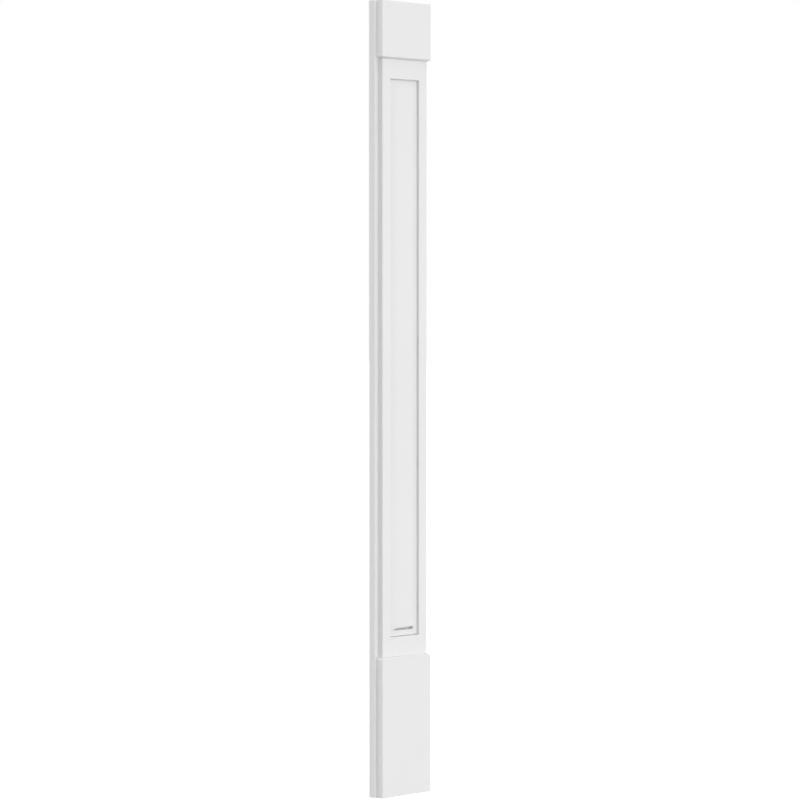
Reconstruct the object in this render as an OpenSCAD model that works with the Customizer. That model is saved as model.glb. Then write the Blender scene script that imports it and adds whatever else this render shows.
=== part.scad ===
// Panelled pilaster for a door or wall: a full-height back board that carries a shaft board
// with one tall raised panel, a plain capital block on top and a taller base block below.
// Frame: +Z up, the panel faces -Y, the flat back lies on Y = 0 and the foot on Z = 0.
// The origin is the middle of the back's lower edge.

/* [Overall] */
// Height from the foot to the top of the capital
overall_h = 2438; // [1800:1:3400]
// Width of the back board, the widest piece
overall_w = 228; // [206:1:320]

/* [Back board] */
// Thickness of the back board
board_t = 24; // [12:0.5:40]
// How far the back board shows beyond each side of the capital and the base
board_lip = 7.5; // [3:0.5:12]

/* [Capital and base] */
// Height of the capital block, with its chamfer
capital_h = 176; // [80:1:300]
// Height of the base block, with its chamfer
base_h = 431; // [150:1:600]
// How far the blocks stand out beyond the shaft, at the front and at each side
block_step = 9; // [5:0.5:12]
// Height of the chamfer that takes each block back to the shaft
chamfer_h = 4; // [3:0.5:20]

/* [Shaft] */
// Thickness of the shaft board
shaft_t = 18; // [16:0.5:32]
// Width of the stile at each side of the panel
stile_w = 33.5; // [25:0.5:40]
// Height of the rail above and below the panel
rail_w = 59.5; // [25:0.5:90]

/* [Raised panel] */
// Depth of the recess around the panel, at its walls
recess_d = 11; // [8:0.5:13]
// Width of the sloping margin, from the recess wall to the flat field
margin_w = 32; // [24:0.5:36]
// Width and height of the steep bevel at the margin's outer edge
edge_bevel = 4.5; // [2:0.5:6]
// Distance from the field's edge to the corner that the rounded shoulder replaces
shoulder_w = 6; // [2:0.5:9]

/* [Slot in the lower margin] */
// Distance from the field's lower edge down to the slot
slot_gap = 3; // [2:0.5:8]
// Height of the slot
slot_h = 8.5; // [3:0.5:10]
// Depth of the slot, from the face of the shaft
slot_d = 12; // [8:0.5:16]
// How far the slot passes the field's edge at each side, before its pointed left end
slot_overrun = 4; // [0:0.5:10]
// Length of the slot's pointed left end, which is drawn out along its lower edge
slot_taper = 14; // [6:1:20]

/* [Hidden] */

// Colours of the pieces: one white paint finish, the board a shade greyer
trim_white = [0.93, 0.93, 0.93];
board_white = [0.90, 0.90, 0.90];

// How far a cutter passes the face that it cuts
overrun = 2;
// Flat facets in the rounded shoulder of the margin
shoulder_steps = 8;

// Blocks: widths and projections in front of the back board
block_w = overall_w - 2 * board_lip;
block_t = shaft_t + block_step;

// Shaft: it fills the height between the base and the capital
shaft_w = block_w - 2 * block_step;
shaft_z0 = base_h;
shaft_z1 = overall_h - capital_h;
shaft_front_y = -(board_t + shaft_t);

// Recess and the flat field inside it
recess_w = shaft_w - 2 * stile_w;
recess_z0 = shaft_z0 + rail_w;
recess_z1 = shaft_z1 - rail_w;
field_w = recess_w - 2 * margin_w;
field_z0 = recess_z0 + margin_w;

// Slope of the margin and radius of its shoulder, which is tangent to slope and field
slope = atan((recess_d - edge_bevel) / (margin_w - shoulder_w - edge_bevel));
shoulder_r = shoulder_w / tan(slope / 2);

// Slot across the lower margin
slot_z1 = field_z0 - slot_gap;
slot_z0 = slot_z1 - slot_h;
slot_right = field_w / 2 + slot_overrun;
slot_left = -slot_right;

// Points along the margin's surface: [distance from the recess wall, depth below the face]
function shoulder_point(angle) =
    [margin_w - shoulder_r * sin(angle), shoulder_r * (1 - cos(angle))];
function margin_surface() = concat(
    [[0, recess_d], [edge_bevel, recess_d - edge_bevel]],
    [for (i = [shoulder_steps : -1 : 0]) shoulder_point(slope * i / shoulder_steps)]
);

// Cutter for one side of the recess, from its wall at X = 0, with the shaft's face on Y = 0
module margin_cutter(length) {
    linear_extrude(height = length)
        polygon(concat(margin_surface(), [[margin_w, -overrun], [0, -overrun]]));
}

// The two upright sides of the recess, which run its full height
module side_margins() {
    for (side = [0, 1])
        mirror([side, 0, 0])
            translate([-recess_w / 2, shaft_front_y, recess_z0])
                margin_cutter(recess_z1 - recess_z0);
}

// The two level sides of the recess, which run its full width and mitre with the uprights
module end_margins() {
    translate([recess_w / 2, shaft_front_y, recess_z0])
        rotate([0, -90, 0])
            margin_cutter(recess_w);
    translate([-recess_w / 2, shaft_front_y, recess_z1])
        rotate([0, 90, 0])
            margin_cutter(recess_w);
}

// Cutter for the slot: square at its right end and drawn out to a point at its left
module slot_cutter() {
    outline = [
        [slot_left - slot_taper, slot_z0],
        [slot_right, slot_z0],
        [slot_right, slot_z1],
        [slot_left, slot_z1]
    ];
    translate([0, shaft_front_y + slot_d, 0])
        rotate([90, 0, 0])
            linear_extrude(height = slot_d + overrun)
                polygon(outline);
}

// A block on the back board's face that stands on its chamfered end, at Z = 0
module chamfered_block(height) {
    front_outline = [
        [-shaft_w / 2, 0],
        [shaft_w / 2, 0],
        [block_w / 2, chamfer_h],
        [block_w / 2, height],
        [-block_w / 2, height],
        [-block_w / 2, chamfer_h]
    ];
    side_outline = [
        [0, 0],
        [shaft_t, 0],
        [block_t, chamfer_h],
        [block_t, height],
        [0, height]
    ];
    translate([0, -board_t, 0])
        intersection() {
            rotate([90, 0, 0])
                linear_extrude(height = block_t)
                    polygon(front_outline);
            translate([-block_w / 2, 0, 0])
                rotate([90, 0, 90])
                    linear_extrude(height = block_w)
                        mirror([1, 0])
                            polygon(side_outline);
        }
}

module back_board() {
    color(board_white)
        translate([-overall_w / 2, -board_t, 0])
            cube([overall_w, board_t, overall_h]);
}

module panelled_shaft() {
    color(trim_white)
        difference() {
            translate([-shaft_w / 2, shaft_front_y, shaft_z0])
                cube([shaft_w, shaft_t, shaft_z1 - shaft_z0]);
            side_margins();
            end_margins();
            slot_cutter();
        }
}

module capital_block() {
    color(trim_white)
        translate([0, 0, shaft_z1])
            chamfered_block(capital_h);
}

module base_block() {
    color(trim_white)
        translate([0, 0, base_h])
            mirror([0, 0, 1])
                chamfered_block(base_h);
}

back_board();
panelled_shaft();
capital_block();
base_block();
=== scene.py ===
"""Panelled pilaster in white cellular PVC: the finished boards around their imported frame."""

import logging
import math
from collections.abc import Callable, Iterator
from contextlib import contextmanager
from dataclasses import dataclass, field
from enum import Enum

import bmesh
import bpy
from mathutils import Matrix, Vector


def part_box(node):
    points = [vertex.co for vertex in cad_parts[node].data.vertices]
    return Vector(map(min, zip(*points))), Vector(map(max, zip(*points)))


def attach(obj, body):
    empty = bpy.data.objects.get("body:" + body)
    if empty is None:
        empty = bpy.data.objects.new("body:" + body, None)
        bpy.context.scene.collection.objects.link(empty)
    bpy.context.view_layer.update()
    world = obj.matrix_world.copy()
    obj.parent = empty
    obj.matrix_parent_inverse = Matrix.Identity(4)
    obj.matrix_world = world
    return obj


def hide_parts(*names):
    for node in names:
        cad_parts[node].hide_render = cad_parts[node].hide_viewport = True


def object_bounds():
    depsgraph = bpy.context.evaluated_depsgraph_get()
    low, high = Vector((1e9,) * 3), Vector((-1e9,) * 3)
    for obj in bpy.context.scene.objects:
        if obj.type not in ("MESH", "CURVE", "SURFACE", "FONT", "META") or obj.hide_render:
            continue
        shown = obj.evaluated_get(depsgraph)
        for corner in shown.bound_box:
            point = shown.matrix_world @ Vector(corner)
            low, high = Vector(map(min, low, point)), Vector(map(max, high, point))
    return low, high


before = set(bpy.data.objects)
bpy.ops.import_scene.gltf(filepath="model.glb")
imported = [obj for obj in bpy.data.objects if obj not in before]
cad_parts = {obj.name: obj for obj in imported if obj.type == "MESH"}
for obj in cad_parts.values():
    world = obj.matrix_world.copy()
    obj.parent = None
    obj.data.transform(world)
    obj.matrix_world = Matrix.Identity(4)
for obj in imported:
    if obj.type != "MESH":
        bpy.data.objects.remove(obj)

CAD_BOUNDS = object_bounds()
ROOT_BODY = "root"
MM = 0.001
# Places of the axes in a vector
X, Y, Z = range(3)
# Two coordinates closer than this are the same place
TOUCH = 0.01 * MM
# A face looks along an axis when its normal's part along it is past this
FACING = 0.9
# The same for the finishes: where a face starts to count as square to an axis, and where it fully does
SQUARE_ON = (0.93, 0.99)
# About how many bands a Wave texture has in a metre at scale 1
WAVE_BANDS = 3.2
# Places of the colours on a Mix node
MIX_FIRST, MIX_SECOND, MIX_RESULT = 6, 7, 2
# Marks on faces, which the finishes read
ARRIS_MARK = "arris"
# The second mark picks out the faces deep in the slot, which are coloured darker: painted shade inside
# the slot
PAINTED_SHADE_MARK = "painted_shade"

log = logging.getLogger("pilaster")


class FinishSlot(Enum):
    """The record's material slots."""

    TRIM = "trim"
    BACK_BOARD = "back_board"


class Easing(Enum):
    """How far back from an edge its rounding starts, in millimetres."""

    ROUNDED = 3.0
    ARRIS = 1.0
    ROUTED = 0.6
    SEAM = 1.2
    JOINT = 0.3


@dataclass(frozen=True)
class Extent:
    """The box that a piece fills.

    Args:
        low: Lowest corner, in metres.
        high: Highest corner, in metres.
    """

    low: Vector
    high: Vector

    @classmethod
    def of_node(cls, node: str) -> "Extent":
        """Returns the box of a CAD node, by its name."""
        return cls(*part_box(node))

    @property
    def size(self) -> Vector:
        """Width, depth and height."""
        return self.high - self.low

    @property
    def centre(self) -> Vector:
        """Middle of the box."""
        return (self.low + self.high) / 2


# ---------------------------------------------------------------- modelling by hand


def start_block(name: str, extent: Extent) -> bpy.types.Object:
    """Adds a block at its size and place, with its place in its mesh.

    Args:
        name: Name of the new piece.
        extent: The box that the block fills.

    Returns:
        The block, selected and active.
    """
    bpy.ops.object.select_all(action="DESELECT")
    bpy.ops.mesh.primitive_cube_add(size=1, location=extent.centre, scale=extent.size)
    block = bpy.context.object
    block.name = name
    block.data.name = name
    bpy.ops.object.transform_apply(location=True, rotation=True, scale=True)
    return block


@contextmanager
def edit_mode(piece: bpy.types.Object, elements: str) -> Iterator[None]:
    """Opens a piece in edit mode with nothing selected, and closes it again.

    Args:
        piece: The piece to shape.
        elements: What is being picked: VERT, EDGE or FACE.
    """
    bpy.ops.object.select_all(action="DESELECT")
    piece.select_set(True)
    bpy.context.view_layer.objects.active = piece
    bpy.ops.object.mode_set(mode="EDIT")
    bpy.ops.mesh.select_mode(type=elements)
    bpy.ops.mesh.select_all(action="DESELECT")
    yield
    bpy.ops.object.mode_set(mode="OBJECT")


def pick_faces(piece: bpy.types.Object, wanted: Callable[[Vector, Vector], bool]) -> None:
    """Selects faces of the piece in edit mode.

    Args:
        piece: The piece being edited.
        wanted: Says yes to a face, from its centre and its normal.
    """
    mesh = bmesh.from_edit_mesh(piece.data)
    for face in mesh.faces:
        face.select_set(wanted(face.calc_center_median(), face.normal))
    bmesh.update_edit_mesh(piece.data)


def pick_edges(piece: bpy.types.Object, wanted: Callable[[Vector, Vector], bool]) -> None:
    """Selects edges of the piece in edit mode.

    Args:
        piece: The piece being edited.
        wanted: Says yes to an edge, from its two ends.
    """
    mesh = bmesh.from_edit_mesh(piece.data)
    for edge in mesh.edges:
        edge.select_set(wanted(edge.verts[0].co, edge.verts[1].co))
    bmesh.update_edit_mesh(piece.data)


def shift_selection(by: Vector) -> None:
    """Moves what is selected in edit mode."""
    bpy.ops.transform.translate(value=by)


def draw_out(by: Vector) -> None:
    """Extrudes the selected face and moves the new one."""
    bpy.ops.mesh.extrude_region_move(TRANSFORM_OT_translate={"value": by})


def mark_easing(
    piece: bpy.types.Object, easing: Easing, wanted: Callable[[Vector, Vector], bool]
) -> None:
    """Marks edges that are to be rounded.

    Args:
        piece: The piece that the edges are on.
        easing: How strongly they are rounded.
        wanted: Says yes to an edge, from its two ends.
    """
    mesh = bmesh.new()
    mesh.from_mesh(piece.data)
    weights = mesh.edges.layers.float.get("bevel_weight_edge")
    if weights is None:
        weights = mesh.edges.layers.float.new("bevel_weight_edge")
    for edge in mesh.edges:
        if wanted(edge.verts[0].co, edge.verts[1].co):
            edge[weights] = easing.value / Easing.ROUNDED.value
    mesh.to_mesh(piece.data)
    mesh.free()


def apply_modifier(piece: bpy.types.Object, modifier: bpy.types.Modifier) -> None:
    """Makes a modifier's result the piece's own mesh.

    Args:
        piece: The piece that the modifier is on.
        modifier: The modifier.
    """
    bpy.ops.object.select_all(action="DESELECT")
    piece.select_set(True)
    bpy.context.view_layer.objects.active = piece
    bpy.ops.object.modifier_apply(modifier=modifier.name)


def same(first: float, second: float) -> bool:
    """Says whether two coordinates are the same place."""
    return abs(first - second) < TOUCH


def along_one_line(first: Vector, second: Vector, axis: int, place: float) -> bool:
    """Says whether both ends of an edge lie at one place on an axis."""
    return same(first[axis], place) and same(second[axis], place)


# ---------------------------------------------------------------- shader nodes


class Value:
    """A shader socket that takes part in Python sums."""

    def __init__(self, sheet: "NodeSheet", socket: bpy.types.NodeSocket) -> None:
        """Wraps a socket.

        Args:
            sheet: The node sheet that the socket is on.
            socket: An output that carries a number.
        """
        self.sheet = sheet
        self.socket = socket

    def _math(self, operation: str, *terms: "Value | float") -> "Value":
        """Adds a Math node.

        Args:
            operation: The Math node's operation.
            terms: Its inputs, in order.

        Returns:
            The result.
        """
        return self.sheet.value("ShaderNodeMath", {"operation": operation}, dict(enumerate(terms)))

    def __add__(self, other: "Value | float") -> "Value":
        """Sum."""
        return self._math("ADD", self, other)

    __radd__ = __add__

    def __mul__(self, other: "Value | float") -> "Value":
        """Product."""
        return self._math("MULTIPLY", self, other)

    __rmul__ = __mul__

    def __sub__(self, other: "Value | float") -> "Value":
        """Difference."""
        return self._math("SUBTRACT", self, other)

    def __rsub__(self, other: float) -> "Value":
        """Difference from a plain number."""
        return self._math("SUBTRACT", other, self)

    def __abs__(self) -> "Value":
        """Size without its sign."""
        return self._math("ABSOLUTE", self)

    def __pow__(self, power: float) -> "Value":
        """Power."""
        return self._math("POWER", self, power)

    def at_least(self, floor: float) -> "Value":
        """Larger of the value and a floor."""
        return self._math("MAXIMUM", self, floor)

    def ramp(self, start: float, end: float) -> "Value":
        """Rises smoothly from 0 to 1.

        Args:
            start: Where the rise begins.
            end: Where it ends.

        Returns:
            The ramped value, held at 0 and 1 outside.
        """
        settings = {"interpolation_type": "SMOOTHSTEP"}
        inputs = {"Value": self, "From Min": start, "From Max": end}
        return self.sheet.value("ShaderNodeMapRange", settings, inputs)


class NodeSheet:
    """The node tree of one material or world."""

    def __init__(self, tree: bpy.types.NodeTree) -> None:
        """Takes over a node tree and empties it."""
        self.tree = tree
        self.tree.nodes.clear()

    def node(
        self, kind: str, settings: dict | None = None, inputs: dict | None = None
    ) -> bpy.types.Node:
        """Adds a node.

        Args:
            kind: The node's type.
            settings: Its properties, which are set first.
            inputs: A number, vector, socket or Value for each input, by name or place.

        Returns:
            The new node.
        """
        made = self.tree.nodes.new(kind)
        for name, setting in (settings or {}).items():
            setattr(made, name, setting)
        for key, given in (inputs or {}).items():
            if isinstance(given, Value):
                given = given.socket
            if isinstance(given, bpy.types.NodeSocket):
                self.tree.links.new(given, made.inputs[key])
            else:
                made.inputs[key].default_value = given
        return made

    def value(
        self,
        kind: str,
        settings: dict | None = None,
        inputs: dict | None = None,
        output: str | int = 0,
    ) -> Value:
        """Adds a node and returns one of its outputs as a Value.

        Args:
            kind: The node's type.
            settings: Its properties.
            inputs: Its inputs.
            output: The output's name or place.

        Returns:
            The chosen output.
        """
        return Value(self, self.node(kind, settings, inputs).outputs[output])

    def mixed_colour(self, factor: Value, first: tuple | Value, second: tuple | Value) -> Value:
        """Blends two colours.

        Args:
            factor: 0 gives the first colour and 1 the second.
            first: A colour or a colour socket.
            second: A colour or a colour socket.

        Returns:
            The blended colour.
        """
        settings = {"data_type": "RGBA", "blend_type": "MIX"}
        inputs = {"Factor": factor, MIX_FIRST: first, MIX_SECOND: second}
        return self.value("ShaderNodeMix", settings, inputs, MIX_RESULT)


def grey(level: float) -> tuple[float, float, float, float]:
    """Returns a neutral colour of that level."""
    return (level, level, level, 1.0)


def stretched(sheet: NodeSheet, place: Value, scale: tuple[float, float, float]) -> Value:
    """Returns coordinates scaled apart along the axes."""
    return sheet.value("ShaderNodeMapping", None, {"Vector": place, "Scale": scale})


# ---------------------------------------------------------------- finishes


@dataclass(frozen=True)
class Grain:
    """A random pattern in a finish.

    Args:
        per_metre: How many of its features fit in a metre.
        detail: How many finer layers it has.
        rise: The part of its range that is spread over 0 to 1, to raise its contrast.
        stretch: How much denser it is along each axis, for streaks.
    """

    per_metre: float
    detail: float = 1.0
    rise: tuple[float, float] | None = None
    stretch: tuple[float, float, float] | None = None

    def on(self, sheet: NodeSheet, place: Value) -> Value:
        """Adds the pattern to a material.

        Args:
            sheet: The material's nodes.
            place: Coordinates in metres.

        Returns:
            The pattern, from 0 to 1.
        """
        if self.stretch:
            place = stretched(sheet, place, self.stretch)
        inputs = {"Vector": place, "Scale": self.per_metre, "Detail": self.detail}
        noise = sheet.value("ShaderNodeTexNoise", None, inputs)
        return noise.ramp(*self.rise) if self.rise else noise


@dataclass(frozen=True)
class SawMarks:
    """The marks that a circular saw leaves across an edge.

    Args:
        pitch: Distance from one mark to the next, in metres.
        height: Height of a mark.
        stretch: Scale along each axis, less than 1 across the edge to keep each mark nearly straight.
        wander: How far they wander.
        detail: How many finer layers the wandering has.
    """

    pitch: float = 2.6 * MM
    height: float = 0.02 * MM
    stretch: tuple[float, float, float] = (1.0, 0.35, 1.0)
    wander: float = 3.0
    detail: float = 2.0

    def on(self, sheet: NodeSheet, place: Value) -> Value:
        """Returns the height of the marks.

        Args:
            sheet: The material's nodes.
            place: Coordinates in metres.

        Returns:
            The height, in metres.
        """
        settings = {"wave_type": "BANDS", "bands_direction": "Z", "wave_profile": "SIN"}
        inputs = {
            "Vector": stretched(sheet, place, self.stretch),
            "Scale": 1.0 / (self.pitch * WAVE_BANDS),
            "Distortion": self.wander,
            "Detail": self.detail,
        }
        return sheet.value("ShaderNodeTexWave", settings, inputs, "Fac") * self.height


@dataclass(frozen=True)
class CellularPvc:
    """Smooth white cellular PVC: a skinned sheet with foamed cut ends and softly rubbed arrises.

    Args:
        name: Name of the finish.
        tone: Level of the white skin.
        offset: Where in the pattern this board was cut, so that no two boards match.
        sawn: Whether the long edges were left from the saw and the back from the rollers.
        refraction: Refractive index of the skin.
        roughness: Roughness of the skin.
        streak_roughness: How much it changes from streak to streak.
        cut_roughness: How much rougher cut foam is.
        rub_polish: How much smoother a rubbed arris is.
        drift_depth: How far the white drifts along a board, as a share of its level.
        mottle_share: Share of the fine mottling in that drift.
        cut_shade: Level of the hollows in cut foam, as a share of the skin's level.
        rub_shade: Level of a rubbed arris, in the same way.
        rub_least: How rubbed the least rubbed stretch of an arris is.
        painted_shade_level: Level of the painted shade inside the slot, as a share of the skin's level.
        painted_shade_darkest: Level of the darkest painted shade there, as a share of the lightest's.
        peel_height: Height of the orange peel, in metres.
        line_height: Height of the fine lines along the board.
        cell_height: Depth of the open cells.
        roller_height: Height of the roller print.
        drift: How the white drifts along a board.
        mottle: The fine mottling.
        cells: The open cells of cut foam.
        patches: Where arrises are rubbed.
        painted_shade_mottle: How dust lies in a raw cut.
        streaks: Streaks of satin along the board.
        peel: The orange peel.
        lines: The fine lines along the board.
        roller_print: The soft roller print on the back.
        saw: The saw's marks.
    """

    name: str
    tone: float
    offset: tuple[float, float, float]
    sawn: bool = False
    refraction: float = 1.52
    roughness: float = 0.44
    streak_roughness: float = 0.10
    cut_roughness: float = 0.22
    rub_polish: float = 0.07
    drift_depth: float = 0.010
    mottle_share: float = 0.006
    cut_shade: float = 0.965
    rub_shade: float = 0.985
    rub_least: float = 0.3
    # Painted shade inside the slot: these two set how much darker its faces are coloured
    painted_shade_level: float = 0.87
    painted_shade_darkest: float = 0.9
    peel_height: float = 0.012 * MM
    line_height: float = 0.006 * MM
    cell_height: float = 0.09 * MM
    roller_height: float = 0.03 * MM
    drift: Grain = Grain(1.7, rise=(0.3, 0.7))
    mottle: Grain = Grain(46.0, detail=3.0)
    cells: Grain = Grain(1500.0, rise=(0.25, 0.6))
    patches: Grain = Grain(14.0, detail=3.0, rise=(0.38, 0.66))
    # Patches in the painted shade inside the slot
    painted_shade_mottle: Grain = Grain(320.0, detail=3.0, rise=(0.3, 0.7))
    streaks: Grain = Grain(1.0, detail=3.0, stretch=(60.0, 60.0, 1.4))
    peel: Grain = Grain(850.0)
    lines: Grain = Grain(1.0, stretch=(420.0, 420.0, 5.0))
    roller_print: Grain = Grain(260.0, detail=2.0, stretch=(1.0, 1.0, 0.5))
    saw: SawMarks = SawMarks()

    def make(self) -> bpy.types.Material:
        """Builds the finish as a material.

        Returns:
            The material.
        """
        material = bpy.data.materials.new(self.name)
        material.use_nodes = True
        sheet = NodeSheet(material.node_tree)
        here = sheet.value("ShaderNodeTexCoord", output="Object")
        place = sheet.value("ShaderNodeMapping", None, {"Vector": here, "Location": self.offset})
        cut = self._facing(sheet, "Z")
        rub = self._rub(sheet, place)
        surface = {
            "Base Color": self._colour(sheet, place, cut, rub),
            "Roughness": self._roughness(sheet, place, cut, rub),
            "Normal": self._relief(sheet, place, cut),
            "IOR": self.refraction,
        }
        shader = sheet.node("ShaderNodeBsdfPrincipled", None, surface)
        sheet.node("ShaderNodeOutputMaterial", None, {"Surface": shader.outputs["BSDF"]})
        return material

    def _facing(self, sheet: NodeSheet, axis: str, both_ways: bool = True) -> Value:
        """Marks the faces that are square to an axis.

        Args:
            sheet: The material's nodes.
            axis: Name of the axis.
            both_ways: Whether faces that look backwards along it count too.

        Returns:
            1 on those faces and 0 on all others.
        """
        normal = sheet.value("ShaderNodeNewGeometry", output="True Normal")
        part = sheet.value("ShaderNodeSeparateXYZ", None, {"Vector": normal}, axis)
        return (abs(part) if both_ways else part).ramp(*SQUARE_ON)

    def _marked(self, sheet: NodeSheet, mark: str) -> Value:
        """Returns 1 on the faces that carry a mark and 0 on all others."""
        return sheet.value("ShaderNodeAttribute", {"attribute_name": mark}, output="Fac")

    def _rub(self, sheet: NodeSheet, place: Value) -> Value:
        """Returns where handling has rubbed the arrises, in patches."""
        patches = self.patches.on(sheet, place)
        return self._marked(sheet, ARRIS_MARK) * (patches * (1.0 - self.rub_least) + self.rub_least)

    def _colour(self, sheet: NodeSheet, place: Value, cut: Value, rub: Value) -> Value:
        """Works out the colour.

        Args:
            sheet: The material's nodes.
            place: Coordinates in metres.
            cut: Where the foam is cut open.
            rub: Where the arrises are rubbed.

        Returns:
            The colour.
        """
        drift = self.drift.on(sheet, place) * (1.0 - self.mottle_share)
        skin = sheet.mixed_colour(
            drift + self.mottle.on(sheet, place) * self.mottle_share,
            grey(self.tone * (1.0 - self.drift_depth / 2)),
            grey(self.tone * (1.0 + self.drift_depth / 2)),
        )
        cells = self.cells.on(sheet, place)
        foam = sheet.mixed_colour(cells, grey(self.tone * self.cut_shade), grey(self.tone))
        board = sheet.mixed_colour(cut, skin, foam)
        rubbed = sheet.mixed_colour(rub, board, grey(self.tone * self.rub_shade))
        # Painted shade: the faces deep inside the slot are coloured darker, in patches, for the shade
        # that falls there
        painted_shade_lightest = self.tone * self.painted_shade_level
        with_painted_shade = sheet.mixed_colour(
            self.painted_shade_mottle.on(sheet, place), grey(painted_shade_lightest * self.painted_shade_darkest), grey(painted_shade_lightest)
        )
        return sheet.mixed_colour(self._marked(sheet, PAINTED_SHADE_MARK), rubbed, with_painted_shade)

    def _roughness(self, sheet: NodeSheet, place: Value, cut: Value, rub: Value) -> Value:
        """Works out the roughness: satin skin, duller foam and slightly polished arrises.

        Args:
            sheet: The material's nodes.
            place: Coordinates in metres.
            cut: Where the foam is cut open.
            rub: Where the arrises are rubbed.

        Returns:
            The roughness.
        """
        least = self.roughness - self.streak_roughness / 2
        satin = self.streaks.on(sheet, place) * self.streak_roughness + least
        return satin + cut * self.cut_roughness - rub * self.rub_polish

    def _relief(self, sheet: NodeSheet, place: Value, cut: Value) -> Value:
        """Works out the fine relief: orange peel on the skin, open cells and saw marks.

        Args:
            sheet: The material's nodes.
            place: Coordinates in metres.
            cut: Where the foam is cut open.

        Returns:
            The normal.
        """
        height = self.peel.on(sheet, place) * self.peel_height
        height = height + self.lines.on(sheet, place) * self.line_height
        height = height + self.cells.on(sheet, place) * cut * self.cell_height
        if self.sawn:
            height = height + self.saw.on(sheet, place) * self._facing(sheet, "X")
            rear = self._facing(sheet, "Y", both_ways=False)
            rollers = self.roller_print.on(sheet, place)
            height = height + rollers * rear * self.roller_height
        relief = {"Strength": 1.0, "Distance": 1.0, "Height": height}
        return sheet.value("ShaderNodeBump", None, relief)


# ---------------------------------------------------------------- the boards


@dataclass
class Board:
    """One board of the pilaster.

    Args:
        node: The CAD node that the board stands for.
        slot: The record's slot for its finish; not used.
        finish: Its finish.
        arris_facets: Facets across each rounded edge.
        crease_angle: Edges sharper than this stay crisp, in radians.
        flattening: How strongly large faces pull the shading flat.
        extent: The board's place, which the frame gives.
    """

    node: str
    slot: FinishSlot
    finish: CellularPvc
    arris_facets: int = 4
    crease_angle: float = math.radians(24)
    flattening: int = 100
    extent: Extent = field(init=False)

    def __post_init__(self) -> None:
        """Reads the board's place from the frame."""
        self.extent = Extent.of_node(self.node)

    def shape(self) -> bpy.types.Object:
        """Models the board, before its edges are eased, and returns it."""
        raise NotImplementedError

    def build(self) -> None:
        """Models, eases and dresses the board and enters it in the frame."""
        piece = self.shape()
        self._ease(piece)
        self._smooth(piece)
        piece.data.materials.append(self.finish.make())
        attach(piece, ROOT_BODY)
        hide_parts(self.node)
        log.info("%s: %d faces, %s", piece.name, len(piece.data.polygons), self.finish.name)

    def _ease(self, piece: bpy.types.Object) -> None:
        """Rounds the marked edges and marks the arrises and the faces that get painted shade.

        Args:
            piece: The board, with its edges marked for easing.
        """
        faces, arrises = bpy.data.materials.new("faces"), bpy.data.materials.new("arrises")
        piece.data.materials.append(faces)
        piece.data.materials.append(arrises)
        rounding = piece.modifiers.new("arrises", "BEVEL")
        rounding.limit_method = "WEIGHT"
        rounding.width = Easing.ROUNDED.value * MM
        rounding.segments = self.arris_facets
        rounding.material = piece.data.materials.find(arrises.name)
        apply_modifier(piece, rounding)
        arris = piece.data.attributes.new(ARRIS_MARK, "FLOAT", "FACE")
        painted_shade = piece.data.attributes.new(PAINTED_SHADE_MARK, "FLOAT", "FACE")
        for face in piece.data.polygons:
            arris.data[face.index].value = float(face.material_index)
            # Faces deep in the slot are marked for painted shade
            painted_shade.data[face.index].value = float(self._gets_painted_shade(face.center))
            face.material_index = 0
        piece.data.materials.clear()
        for stand_in in (faces, arrises):
            bpy.data.materials.remove(stand_in)

    def _gets_painted_shade(self, centre: Vector) -> bool:
        """Says whether a face gets painted shade inside a cut, from its centre."""
        return False

    def _smooth(self, piece: bpy.types.Object) -> None:
        """Shades arrises and shoulders smooth while the flats and mitres stay crisp.

        Args:
            piece: The board, with its edges rounded.
        """
        bpy.ops.object.select_all(action="DESELECT")
        piece.select_set(True)
        bpy.context.view_layer.objects.active = piece
        bpy.ops.object.shade_smooth_by_angle(angle=self.crease_angle)
        flats = piece.modifiers.new("flats", "WEIGHTED_NORMAL")
        flats.keep_sharp = True
        flats.weight = self.flattening
        apply_modifier(piece, flats)


@dataclass
class BackBoard(Board):
    """The full-height board behind everything."""

    def shape(self) -> bpy.types.Object:
        """Models the board: a planed plank with eased arrises and square-cut ends.

        Returns:
            The board, with its edges marked for easing.
        """
        board = start_block("pilaster_back_board", self.extent)
        ends = (self.extent.low.z, self.extent.high.z)

        def is_end(first: Vector, second: Vector) -> bool:
            """Says whether an edge is on a square-cut end."""
            return any(along_one_line(first, second, Z, z) for z in ends)

        mark_easing(board, Easing.ARRIS, lambda first, second: not is_end(first, second))
        mark_easing(board, Easing.JOINT, is_end)
        return board


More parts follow.
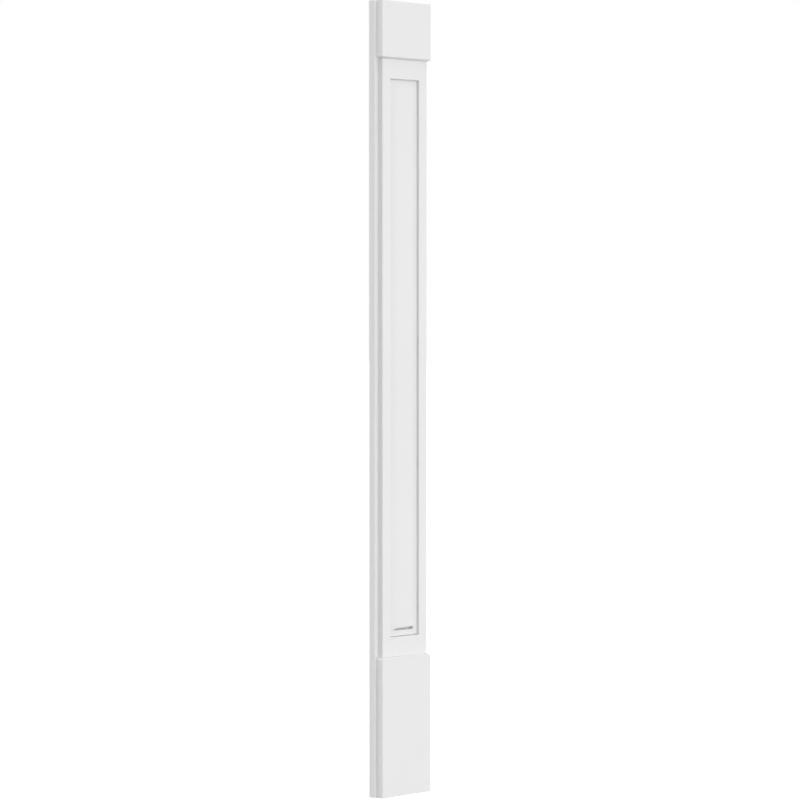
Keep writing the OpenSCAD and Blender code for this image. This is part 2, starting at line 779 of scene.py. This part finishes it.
@dataclass
class ChamferedBlock(Board):
    """A block whose end beside the shaft is chamfered back to the shaft's outline.

    Args:
        title: Name of the piece.
        shaft: The shaft's box.
        chamfer: Height of the chamfer, in metres.
        shaft_is_below: Whether the chamfered end looks down.
    """

    title: str = ""
    shaft: Extent | None = None
    chamfer: float = 4.0 * MM
    shaft_is_below: bool = True

    def shape(self) -> bpy.types.Object:
        """Models the block: its straight part, then the end drawn out and narrowed.

        Returns:
            The block, with its edges marked for easing.
        """
        low, high = self.extent.low.copy(), self.extent.high.copy()
        towards_shaft = -1.0 if self.shaft_is_below else 1.0
        joint_z = low.z if self.shaft_is_below else high.z
        if self.shaft_is_below:
            low.z += self.chamfer
        else:
            high.z -= self.chamfer
        block = start_block(self.title, Extent(low, high))
        with edit_mode(block, "FACE"):
            pick_faces(block, lambda centre, normal: normal.z * towards_shaft > FACING)
            draw_out(Vector((0, 0, towards_shaft * self.chamfer)))
            size, shaft_size = self.extent.size, self.shaft.size
            narrowing = (shaft_size.x / size.x, shaft_size.y / size.y, 1.0)
            seat = Vector((self.extent.centre.x, self.extent.high.y, joint_z))
            bpy.ops.transform.resize(value=narrowing, center_override=seat)
        self._mark(block, joint_z, joint_z - towards_shaft * self.chamfer)
        return block

    def _mark(self, block: bpy.types.Object, joint_z: float, brow_z: float) -> None:
        """Marks the block's edges: fine where it meets another board, softer elsewhere.

        Args:
            block: The block.
            joint_z: Height of the joint with the shaft.
            brow_z: Height where the chamfer meets the upright faces.
        """
        seat_y = self.extent.high.y

        def is_joint(first: Vector, second: Vector) -> bool:
            """Says whether an edge meets the back board or the shaft."""
            on_seat = along_one_line(first, second, Y, seat_y)
            return on_seat or along_one_line(first, second, Z, joint_z)

        def is_brow(first: Vector, second: Vector) -> bool:
            """Says whether an edge is the outer one of the chamfer."""
            return along_one_line(first, second, Z, brow_z) and not is_joint(first, second)

        mark_easing(block, Easing.ARRIS, lambda first, second: not is_joint(first, second))
        mark_easing(block, Easing.ROUNDED, is_brow)
        mark_easing(block, Easing.JOINT, is_joint)
        mark_easing(
            block, Easing.SEAM, lambda first, second: along_one_line(first, second, Z, joint_z)
        )


@dataclass
class PanelledShaft(Board):
    """The shaft board, with one tall raised panel worked in its face.

    Args:
        stile: Width of the stile at each side of the panel, in metres.
        rail: Height of the rail above and below it.
        depth: Depth of the recess at its walls.
        margin: Width of the sloping margin.
        edge_bevel: Width and height of the steep bevel at the margin's outer edge.
        shoulder: Distance from the field to the corner that the rounded shoulder replaces.
        shoulder_facets: Facets in the shoulder.
        slot_gap: Distance from the field's lower edge down to the slot.
        slot_height: Height of the slot.
        slot_depth: Depth of the slot from the shaft's face.
        slot_overrun: How far it passes the field's edge at each side.
        slot_taper: Length of its pointed left end.
        painted_shade_from: Depth below the shaft's face where the slot's faces with painted shade begin.
    """

    stile: float = 33.5 * MM
    rail: float = 59.5 * MM
    depth: float = 11.0 * MM
    margin: float = 32.0 * MM
    edge_bevel: float = 4.5 * MM
    shoulder: float = 6.0 * MM
    shoulder_facets: int = 12
    slot_gap: float = 3.0 * MM
    slot_height: float = 8.5 * MM
    slot_depth: float = 12.0 * MM
    slot_overrun: float = 4.0 * MM
    slot_taper: float = 14.0 * MM
    painted_shade_from: float = 4.0 * MM

    @property
    def recess(self) -> Extent:
        """The recess around the panel."""
        low, high = self.extent.low, self.extent.high
        return Extent(
            Vector((low.x + self.stile, low.y, low.z + self.rail)),
            Vector((high.x - self.stile, low.y + self.depth, high.z - self.rail)),
        )

    def shape(self) -> bpy.types.Object:
        """Models the shaft: the board, the recess, the panel's margin and the slot.

        Returns:
            The shaft, with its edges marked for easing.
        """
        shaft = start_block("pilaster_shaft", self.extent)
        with edit_mode(shaft, "FACE"):
            pick_faces(shaft, lambda centre, normal: normal.y < -FACING)
            bpy.ops.mesh.inset(thickness=self.stile, depth=0)
        self._set_rails(shaft)
        with edit_mode(shaft, "FACE"):
            pick_faces(shaft, self._is_panel)
            draw_out(Vector((0, self.depth, 0)))
            for width, rise in self._margin_steps():
                bpy.ops.mesh.inset(thickness=width, depth=rise)
        self._mark(shaft)
        self._cut_slot(shaft)
        return shaft

    def _is_panel(self, centre: Vector, normal: Vector) -> bool:
        """Says whether a face is the panel's, from its centre and normal."""
        away = centre - self.extent.centre
        return normal.y < -FACING and abs(away.x) < self.stile and abs(away.z) < self.rail

    def _set_rails(self, shaft: bpy.types.Object) -> None:
        """Moves the panel's upper and lower edges in from the stile's width to the rail's.

        Args:
            shaft: The shaft, with its face inset by the stile's width all round.
        """
        step = self.rail - self.stile
        for end_z, inward in ((self.extent.low.z, 1.0), (self.extent.high.z, -1.0)):
            edge_z = end_z + inward * self.stile
            with edit_mode(shaft, "EDGE"):
                pick_edges(shaft, lambda first, second: along_one_line(first, second, Z, edge_z))
                shift_selection(Vector((0, 0, inward * step)))

    def _margin_steps(self) -> list[tuple[float, float]]:
        """Works out the margin from the recess wall to the field.

        Returns:
            The width and the rise of each step.
        """
        run = self.margin - self.shoulder - self.edge_bevel
        slope = math.atan2(self.depth - self.edge_bevel, run)
        radius = self.shoulder / math.tan(slope / 2)
        points = [(0.0, self.depth), (self.edge_bevel, self.depth - self.edge_bevel)]
        for facet in range(self.shoulder_facets, -1, -1):
            angle = slope * facet / self.shoulder_facets
            points.append((self.margin - radius * math.sin(angle), radius * (1 - math.cos(angle))))
        return [(end[0] - start[0], start[1] - end[1]) for start, end in zip(points, points[1:])]

    def _mark(self, shaft: bpy.types.Object) -> None:
        """Marks the shaft's edges: its long arrises, the routed recess and the hidden joints.

        Args:
            shaft: The shaft, before the slot is cut.
        """
        low, high, recess = self.extent.low, self.extent.high, self.recess
        ends, sides = (low.z, high.z), (low.x, high.x)

        def is_joint(first: Vector, second: Vector) -> bool:
            """Says whether an edge meets the back board or a block."""
            on_end = any(along_one_line(first, second, Z, z) for z in ends)
            return on_end or along_one_line(first, second, Y, high.y)

        def is_arris(first: Vector, second: Vector) -> bool:
            """Says whether an edge is a long arris of the face."""
            on_side = any(along_one_line(first, second, X, x) for x in sides)
            return on_side and along_one_line(first, second, Y, low.y) and not is_joint(first, second)

        def is_routed(first: Vector, second: Vector) -> bool:
            """Says whether an edge is the recess's, on the face."""
            upright = any(along_one_line(first, second, X, x) for x in (recess.low.x, recess.high.x))
            level = any(along_one_line(first, second, Z, z) for z in (recess.low.z, recess.high.z))
            return (upright or level) and along_one_line(first, second, Y, recess.low.y)

        mark_easing(shaft, Easing.JOINT, is_joint)
        mark_easing(
            shaft,
            Easing.SEAM,
            lambda first, second: is_joint(first, second) and same(first.z, second.z),
        )
        mark_easing(shaft, Easing.ARRIS, is_arris)
        mark_easing(shaft, Easing.ROUTED, is_routed)

    @property
    def slot_box(self) -> Extent:
        """The slot's box without its pointed end, from the shaft's face inwards."""
        low, high = self.recess.low, self.recess.high
        inset = self.margin - self.slot_overrun
        top = low.z + self.margin - self.slot_gap
        return Extent(
            Vector((low.x + inset, low.y, top - self.slot_height)),
            Vector((high.x - inset, low.y + self.slot_depth, top)),
        )

    def _gets_painted_shade(self, centre: Vector) -> bool:
        """Says whether a face inside the slot gets painted shade.

        Args:
            centre: The face's centre.

        Returns:
            Whether it gets the painted shade inside the slot.
        """
        low, high = self.slot_box.low, self.slot_box.high
        across = low.x - self.slot_taper < centre.x < high.x + TOUCH
        level = low.z - TOUCH < centre.z < high.z + TOUCH
        return across and level and centre.y > low.y + self.painted_shade_from

    def _cut_slot(self, shaft: bpy.types.Object) -> None:
        """Cuts the slot across the lower margin, square at its right end and pointed at its left.

        Args:
            shaft: The shaft, with its panel worked.
        """
        outline = self.slot_box
        outline.low.y -= self.margin
        cutter = start_block("slot_cutter", outline)
        with edit_mode(cutter, "EDGE"):
            pick_edges(
                cutter,
                lambda first, second: along_one_line(first, second, X, outline.low.x)
                and along_one_line(first, second, Z, outline.low.z),
            )
            shift_selection(Vector((-self.slot_taper, 0, 0)))
        cut = shaft.modifiers.new("slot", "BOOLEAN")
        cut.operation = "DIFFERENCE"
        cut.solver = "EXACT"
        cut.object = cutter
        apply_modifier(shaft, cut)
        bpy.data.objects.remove(cutter)


# ---------------------------------------------------------------- the studio


@dataclass(frozen=True)
class Glow:
    """A soft bright patch in the studio's white surround.

    Args:
        azimuth: Angle round the pilaster from its front, towards its right side, in degrees.
        elevation: Angle above the horizon, in degrees.
        level: Brightness at the middle of the patch.
        focus: How quickly it fades away from its middle.
    """

    azimuth: float
    elevation: float
    level: float
    focus: float = 16.0

    @property
    def direction(self) -> Vector:
        """The direction from the pilaster to the middle of the patch."""
        turn, tilt = math.radians(self.azimuth), math.radians(self.elevation)
        return Vector((math.sin(turn) * math.cos(tilt), -math.cos(turn) * math.cos(tilt), math.sin(tilt)))

    def shine(self, sheet: NodeSheet, outlook: Value) -> Value:
        """Returns how brightly the patch shines in a direction.

        Args:
            sheet: The surround's nodes.
            outlook: The direction.

        Returns:
            The brightness.
        """
        inputs = {0: outlook, 1: self.direction}
        towards = sheet.value("ShaderNodeVectorMath", {"operation": "DOT_PRODUCT"}, inputs, "Value")
        return towards.at_least(0.0) ** self.focus * self.level


@dataclass(frozen=True)
class Studio:
    """A white studio: a pale floor and a surround of soft light.

    Args:
        floor_size: Width of the floor, in metres.
        floor_tone: Level of the floor's own white.
        floor_roughness: The floor's roughness.
        floor_glow: How brightly the floor is lit from within, so that it stays pale.
        backdrop: Level of the backdrop as the lens sees it.
        fill: Brightness of the even light from all round.
        glows: The surround's bright patches.
    """

    floor_size: float = 120.0
    floor_tone: float = 0.9
    floor_roughness: float = 0.9
    floor_glow: float = 0.62
    backdrop: float = 1.0
    fill: float = 0.13
    glows: tuple[Glow, ...] = (
        Glow(0, 0, 1.03, 24.0),
        Glow(0, 25, 0.86),
        Glow(0, 50, 0.24),
        Glow(0, 70, 2.75),
        Glow(0, 90, 1.36),
        Glow(0, -25, 2.77),
        Glow(-30, 0, 0.74),
        Glow(-90, 0, 1.83),
        Glow(-120, 45, 1.14),
        Glow(-150, 0, 3.16),
        Glow(46, 0, 3.58, 40.0),
        Glow(75, 0, 0.22),
        Glow(120, 45, 1.14),
        Glow(150, 0, 3.16),
    )

    def build(self, foot_z: float) -> None:
        """Lays the floor and lights the surround.

        Args:
            foot_z: Height of the pilaster's foot.
        """
        self._lay_floor(foot_z)
        self._light_surround()
        bpy.context.scene.view_settings.view_transform = "Standard"

    def _lay_floor(self, foot_z: float) -> None:
        """Lays the pale floor under the pilaster's foot.

        Args:
            foot_z: Height of the pilaster's foot.
        """
        bpy.ops.object.select_all(action="DESELECT")
        bpy.ops.mesh.primitive_plane_add(size=self.floor_size, location=(0, 0, foot_z))
        floor = bpy.context.object
        floor.name = "studio_floor"
        bpy.ops.object.transform_apply(location=True, rotation=True, scale=True)
        floor.visible_diffuse = False
        floor.visible_glossy = False
        floor.visible_shadow = False
        material = bpy.data.materials.new("pale floor")
        material.use_nodes = True
        sheet = NodeSheet(material.node_tree)
        inputs = {
            "Base Color": grey(self.floor_tone),
            "Roughness": self.floor_roughness,
            "Emission Color": grey(1.0),
            "Emission Strength": self.floor_glow,
        }
        shader = sheet.node("ShaderNodeBsdfPrincipled", None, inputs)
        sheet.node("ShaderNodeOutputMaterial", None, {"Surface": shader.outputs["BSDF"]})
        floor.data.materials.append(material)

    def _light_surround(self) -> None:
        """Makes the surround: a white backdrop to the lens and soft light on the pilaster."""
        world = bpy.data.worlds.new("studio")
        bpy.context.scene.world = world
        world.use_nodes = True
        sheet = NodeSheet(world.node_tree)
        outlook = sheet.value("ShaderNodeTexCoord", output="Generated")
        light = sum((glow.shine(sheet, outlook) for glow in self.glows), self.fill)
        to_lens = sheet.value("ShaderNodeLightPath", output="Is Camera Ray")
        strength = to_lens * self.backdrop + (1.0 - to_lens) * light
        shine = sheet.node("ShaderNodeBackground", None, {"Color": grey(1.0), "Strength": strength})
        sheet.node("ShaderNodeOutputWorld", None, {"Surface": shine.outputs[0]})


@dataclass(frozen=True)
class StudioCamera:
    """A long lens to the left of the pilaster's face, a little above its middle.

    Args:
        azimuth: Angle round the pilaster from its front, in degrees.
        elevation: Angle above the horizon, in degrees.
        distance: Distance from the aim, in metres.
        lens: Focal length, in millimetres.
        sensor: Width of the sensor, in millimetres.
        aim_right: How far right of the pilaster's middle it aims, in metres.
        aim_up: How far above the middle it aims.
    """

    azimuth: float = -45.94
    elevation: float = 1.606
    distance: float = 9.646
    lens: float = 140.96
    sensor: float = 36.0
    aim_right: float = -0.0026
    aim_up: float = -0.0005

    def set_up(self, middle: Vector) -> None:
        """Places the camera and makes it the scene's.

        Args:
            middle: Middle of the pilaster.
        """
        turn, tilt = math.radians(self.azimuth), math.radians(self.elevation)
        level = Vector((math.sin(turn), -math.cos(turn), 0)) * math.cos(tilt)
        back = level + Vector((0, 0, math.sin(tilt)))
        right = Vector((0, 0, 1)).cross(back).normalized()
        up = back.cross(right)
        aim = middle + right * self.aim_right + up * self.aim_up
        bpy.ops.object.camera_add(location=aim + back * self.distance)
        camera = bpy.context.object
        camera.name = "studio_camera"
        camera.data.lens = self.lens
        camera.data.sensor_width = self.sensor
        camera.rotation_mode = "QUATERNION"
        camera.rotation_quaternion = (-back).to_track_quat("-Z", "Y")
        bpy.context.scene.camera = camera


def make_boards() -> list[Board]:
    """Lists the pilaster's boards.

    Returns:
        The boards, from the back forwards.
    """
    shaft = Extent.of_node("panelled_shaft")
    return [
        BackBoard(
            "back_board",
            FinishSlot.BACK_BOARD,
            CellularPvc("white PVC sheet, sawn to width", tone=0.85, offset=(0.37, 0.0, 0.11), sawn=True),
        ),
        PanelledShaft(
            "panelled_shaft",
            FinishSlot.TRIM,
            CellularPvc("white PVC sheet, routed", tone=0.86, offset=(1.71, 0.4, 2.3)),
        ),
        ChamferedBlock(
            "capital_block",
            FinishSlot.TRIM,
            CellularPvc("white PVC block, capital", tone=0.86, offset=(3.13, 1.2, 0.7)),
            title="pilaster_capital",
            shaft=shaft,
        ),
        ChamferedBlock(
            "base_block",
            FinishSlot.TRIM,
            CellularPvc("white PVC block, base", tone=0.86, offset=(0.93, 2.1, 4.9)),
            title="pilaster_base",
            shaft=shaft,
            shaft_is_below=False,
        ),
    ]


def main() -> None:
    """Builds the boards, then the studio and the camera."""
    logging.basicConfig(level=logging.INFO, format="%(name)s: %(message)s")
    for board in make_boards():
        board.build()
    low, high = CAD_BOUNDS
    middle = (low + high) / 2
    Studio().build(low.z)
    StudioCamera().set_up(middle)


if __name__ == "__main__":
    main()
